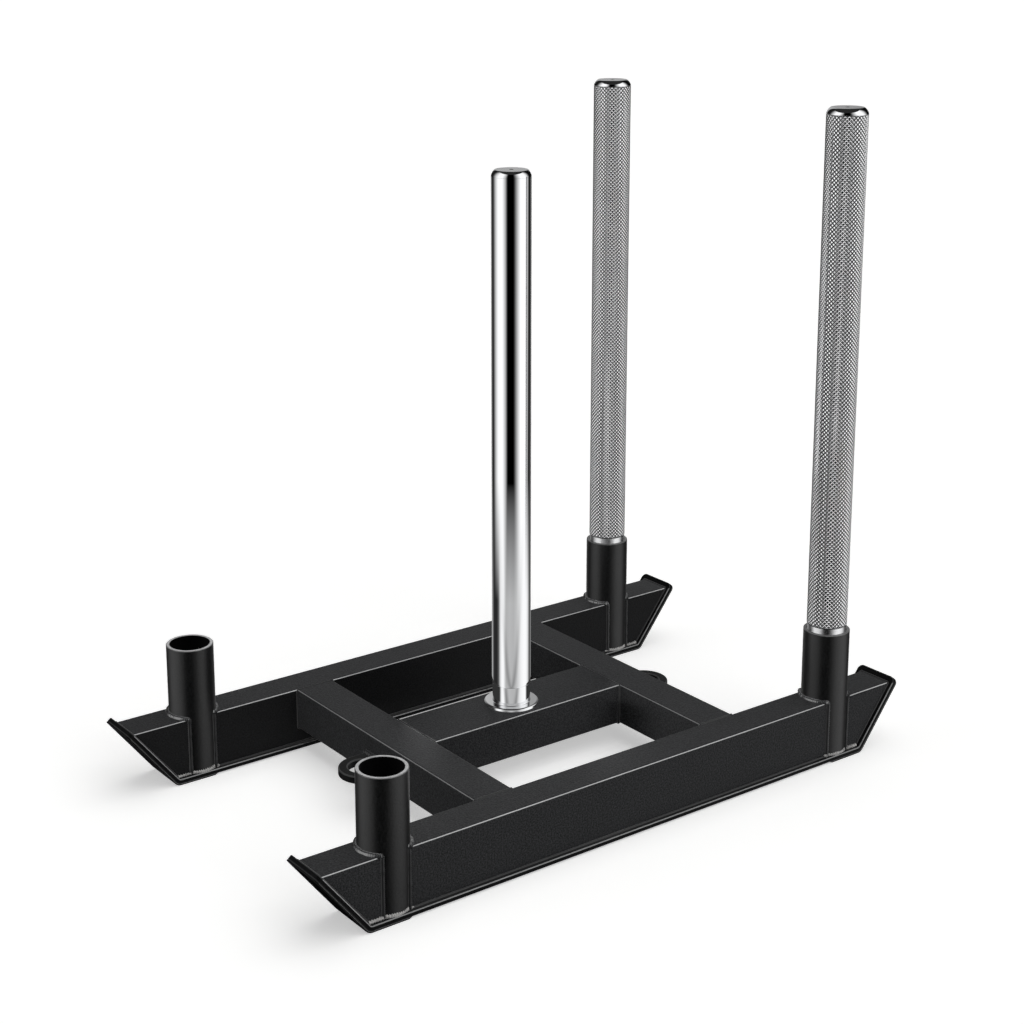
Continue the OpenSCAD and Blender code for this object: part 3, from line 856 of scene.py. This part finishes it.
class SLED_OT_stage(bpy.types.Operator):
    """Sets the pale floor, the soft studio light and the camera"""
    bl_idname = "sled.stage"
    bl_label = "Set the Stage"

    def execute(self, context):
        self.floor(context)
        self.surround(context)
        self.under_card(context)
        self.foot_card(context)
        self.world(context)
        self.lamps(context)
        self.camera(context)
        context.scene.view_settings.view_transform = "Standard"
        return {"FINISHED"}

    def floor(self, context):
        bm = bmesh.new()
        bmesh.ops.create_grid(bm, x_segments=1, y_segments=1, size=40)
        mesh = bpy.data.meshes.new("studio_floor")
        bm.to_mesh(mesh)
        bm.free()
        floor = bpy.data.objects.new("studio_floor", mesh)
        context.scene.collection.objects.link(floor)
        f = new_finish("studio_floor")
        shade = f.noise(f.place(), 3, 3)
        tone = tuple(context.scene.sled_finish.floor)
        matt = f.add("ShaderNodeBsdfDiffuse", None, Color=f.mix(shade * 0.2, tone, toned(tone, 0.985)))
        seen = f.add("ShaderNodeLightPath", None, out=0)
        glow = f.add("ShaderNodeEmission", None, Color=(1, 1, 1), Strength=seen * 0.47)
        mesh.materials.append(f.surface(f.add("ShaderNodeAddShader", None, matt, glow)))
        floor.visible_glossy = False

    def reflected(self, context, name, radius, low, high, closed):
        """Round card about the middle that only reflections see, with the place and turn of its shading."""
        bm = bmesh.new()
        made = bmesh.ops.create_cone(bm, cap_ends=closed, segments=96, radius1=radius, radius2=radius,
                                     depth=high - low)
        bmesh.ops.translate(bm, verts=made["verts"], vec=(0, 0, (high + low) / 2))
        mesh = bpy.data.meshes.new(name)
        bm.to_mesh(mesh)
        bm.free()
        card = bpy.data.objects.new(name, mesh)
        context.scene.collection.objects.link(card)
        card.visible_camera = card.visible_diffuse = card.visible_shadow = False
        card.visible_transmission = card.visible_volume_scatter = False
        f = new_finish(name)
        where = f.add("ShaderNodeSeparateXYZ", None, f.place())
        x, y, z = (Value(f, socket) for socket in where.socket.node.outputs)
        turn = f.add("ShaderNodeMath", {"operation": "ARCTAN2"}, y, x) / (2 * math.pi)
        turn = f.add("ShaderNodeMath", {"operation": "FRACT"}, turn + (FRONT_TURN / 360 + 1.5))
        return mesh, f, z, turn

    def around(self, f, turn, stops):
        """Shade that changes round a card, from stops of (degrees, level)."""
        return f.ramp(turn, *(((degrees + 180) / 360, level) for degrees, level in stops))

    def surround(self, context):
        """White and black cards that only reflections see, the bright ones beside the photo's view."""
        mesh, f, z, turn = self.reflected(context, "studio_cards", 3.6, -3.0, 8.0, True)
        sides = ((-126, 0.01), (-119, 0.06), (-111, 0.2), (-101, 0.48), (-91, 0.72), (-81, 0.95), (-72, 1.0),
                 (-52, 0.96), (-43, 0.7), (-33, 0.37), (-25, 0.04), (-20, 0.0), (12, 0.0), (18, 0.03),
                 (27, 0.22), (36, 0.48), (45, 0.76), (54, 0.98), (62, 1.05), (80, 1.0), (91, 0.88),
                 (101, 0.6), (110, 0.2), (118, 0.01), (126, 0.0))
        low = ((-180, 0.2), (-158, 0.3), (-147, 0.15), (-140, 0.03), *sides, (150, 0.12), (180, 0.2))
        high = ((-180, 0.42), (-164, 0.4), (-158, 0.01), *sides, (158, 0.01), (164, 0.4), (180, 0.42))
        low, high = self.around(f, turn, low), self.around(f, turn, high)
        glow = f.mix(f.ramp(z, (0.28, 0.0), (0.52, 1.0)), low, high)
        unlit = (z < UNDER_CARD) + (z > 5.0)
        glow = f.mix(unlit, glow, (0.02, 0.02, 0.02))
        mesh.materials.append(f.surface(f.add("ShaderNodeEmission", None, glow, CARD_GLOW)))

    def under_card(self, context):
        """Card under the sled that lights the post alone, where it is seen from above."""
        mesh, f, _, turn = self.reflected(context, "under_card", 3.59, UNDER_CARD - 0.02, UNDER_CARD, True)
        light = self.around(f, turn, (
            (-180, 0.2), (-150, 0.3), (-126, 0.05), (-111, 0.2), (-91, 0.7), (-72, 0.95), (-52, 0.9),
            (-33, 0.37), (-20, 0.05), (12, 0.05), (27, 0.22), (45, 0.76), (62, 1.0), (91, 0.88), (110, 0.2),
            (126, 0.05), (150, 0.15), (180, 0.2)))
        mesh.materials.append(f.surface(f.add("ShaderNodeEmission", None, light, CARD_GLOW)))
        bpy.data.objects["under_card"].light_linking.receiver_collection = group_of("post_pieces")

    def foot_card(self, context):
        """Low card round the post that lights its foot, with dark streaks that meet at its front, a painted
        reflection of the frame's beams.
        """
        mesh, f, z, turn = self.reflected(context, "foot_card", 0.15, 0.0, 0.36, False)
        light = self.around(f, turn, (
            (-180, 0.3), (-160, 0.5), (-142, 0.3), (-126, 0.12), (-116, 0.02), (-88, 0.02), (-76, 0.08),
            (-68, 0.4), (-62, 0.75), (-52, 0.93), (-43, 0.9), (-36, 0.62), (-29, 0.42), (-10, 0.46),
            (12, 0.43), (28, 0.5), (42, 0.68), (55, 0.85), (70, 0.93), (86, 0.94), (96, 0.84), (106, 0.66),
            (114, 0.36), (122, 0.06), (140, 0.12), (160, 0.3), (180, 0.3)))
        dark = (0.03, 0.03, 0.03)
        aside = f.add("ShaderNodeMath", {"operation": "ABSOLUTE"}, turn - 0.5) * 360
        on_tube = z > 0.058
        climb = f.add("ShaderNodeMath", {"operation": "MAXIMUM"}, z - 0.022 - on_tube * 0.037, 0.0)
        off = f.add("ShaderNodeMath", {"operation": "ABSOLUTE"}, aside - climb ** 0.5 * (184 - on_tube * 46))
        # Painted reflection: the dark streaks stand in for the beams, which the chrome does not reflect.
        streak = f.ramp(off / 30, (0.05, 1.0), (0.55, 0.0)) * f.ramp(z * 5, (0.1, 1.0), (0.9, 0.2))
        flank = f.ramp(turn, (0.3, 1.0), (0.335, 0.0), (0.745, 0.0), (0.775, 1.0)) * (1 - on_tube)
        light = f.mix(streak * 0.55, light, dark)
        glow = f.add("ShaderNodeEmission", None, f.mix(flank, light, dark), CARD_GLOW)
        faded = f.ramp(z * 2.5, (0.45, 0.0), (0.87, 1.0))
        clear = f.add("ShaderNodeBsdfTransparent")
        mesh.materials.append(f.surface(f.add("ShaderNodeMixShader", None, faded, glow, clear)))

    def world(self, context):
        world = bpy.data.worlds.new("studio_world")
        context.scene.world = world
        f = Finish(world)
        seen = f.add("ShaderNodeLightPath", None, out=0)
        shiny = Value(f, seen.socket.node.outputs["Is Glossy Ray"])
        strength = 0.12 + seen * 0.88 - shiny * 0.08
        back = f.add("ShaderNodeBackground", None, Color=(1, 1, 1), Strength=strength)
        f.add("ShaderNodeOutputWorld", None, back)

    def lamps(self, context):
        for name, place, power, spread in (("overhead_light", (0.1, 0.3, 1.0), 1.3, 75),
                                           ("right_light", (1.0, 0.1, 0.7), 0.52, 45),
                                           ("left_light", (-0.37, -0.93, 0.3), 0.3, 30),
                                           ("sheen_light", (-0.25, 0.2, 1.0), 3.0, 75)):
            data = bpy.data.lights.new(name, "SUN")
            data.energy, data.angle = power, math.radians(spread)
            lamp = bpy.data.objects.new(name, data)
            context.scene.collection.objects.link(lamp)
            lamp.rotation_euler = Vector(place).to_track_quat("Z", "Y").to_euler()
            if name == "sheen_light":
                lamp.visible_diffuse = False
                lamp.light_linking.receiver_collection = group_of("coated_pieces")
            else:
                lamp.visible_glossy = False

    def camera(self, context):
        data = bpy.data.cameras.new("photo_camera")
        camera = bpy.data.objects.new("photo_camera", data)
        context.scene.collection.objects.link(camera)
        turn, rise = math.radians(CAMERA_TURN), math.radians(CAMERA_RISE)
        back = Vector((math.sin(turn) * math.cos(rise), -math.cos(turn) * math.cos(rise), math.sin(rise)))
        camera.location = CAMERA_PLACE
        camera.rotation_euler = (-back).to_track_quat("-Z", "Y").to_euler()
        data.sensor_width = 36
        data.lens = FOCAL_PIXELS / PICTURE_PIXELS * data.sensor_width
        data.shift_y = SHIFT_PIXELS / PICTURE_PIXELS
        context.scene.camera = camera


STEPS = (SLED_OT_frame, SLED_OT_sockets, SLED_OT_welds, SLED_OT_post, SLED_OT_handles, SLED_OT_fittings,
         SLED_OT_stage)


class SLED_PT_panel(bpy.types.Panel):
    """Sizes, finishes and steps of the push sled"""
    bl_idname = "SLED_PT_panel"
    bl_label = "Push Sled"
    bl_space_type = "VIEW_3D"
    bl_region_type = "UI"
    bl_category = "Sled"

    def draw(self, context):
        for group in (context.scene.sled_sizes, context.scene.sled_finish):
            for key in group.__annotations__:
                self.layout.prop(group, key)
        for step in STEPS:
            self.layout.operator(step.bl_idname)


def register():
    for kind in (SledSizes, SledFinish, *STEPS, SLED_PT_panel):
        bpy.utils.register_class(kind)
    bpy.types.Scene.sled_sizes = PointerProperty(type=SledSizes)
    bpy.types.Scene.sled_finish = PointerProperty(type=SledFinish)


def unregister():
    del bpy.types.Scene.sled_finish
    del bpy.types.Scene.sled_sizes
    for kind in reversed((SledSizes, SledFinish, *STEPS, SLED_PT_panel)):
        bpy.utils.unregister_class(kind)


def main():
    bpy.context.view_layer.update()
    register()
    for step in STEPS:
        group, name = step.bl_idname.split(".")
        getattr(getattr(bpy.ops, group), name)()


if __name__ == "__main__":
    main()
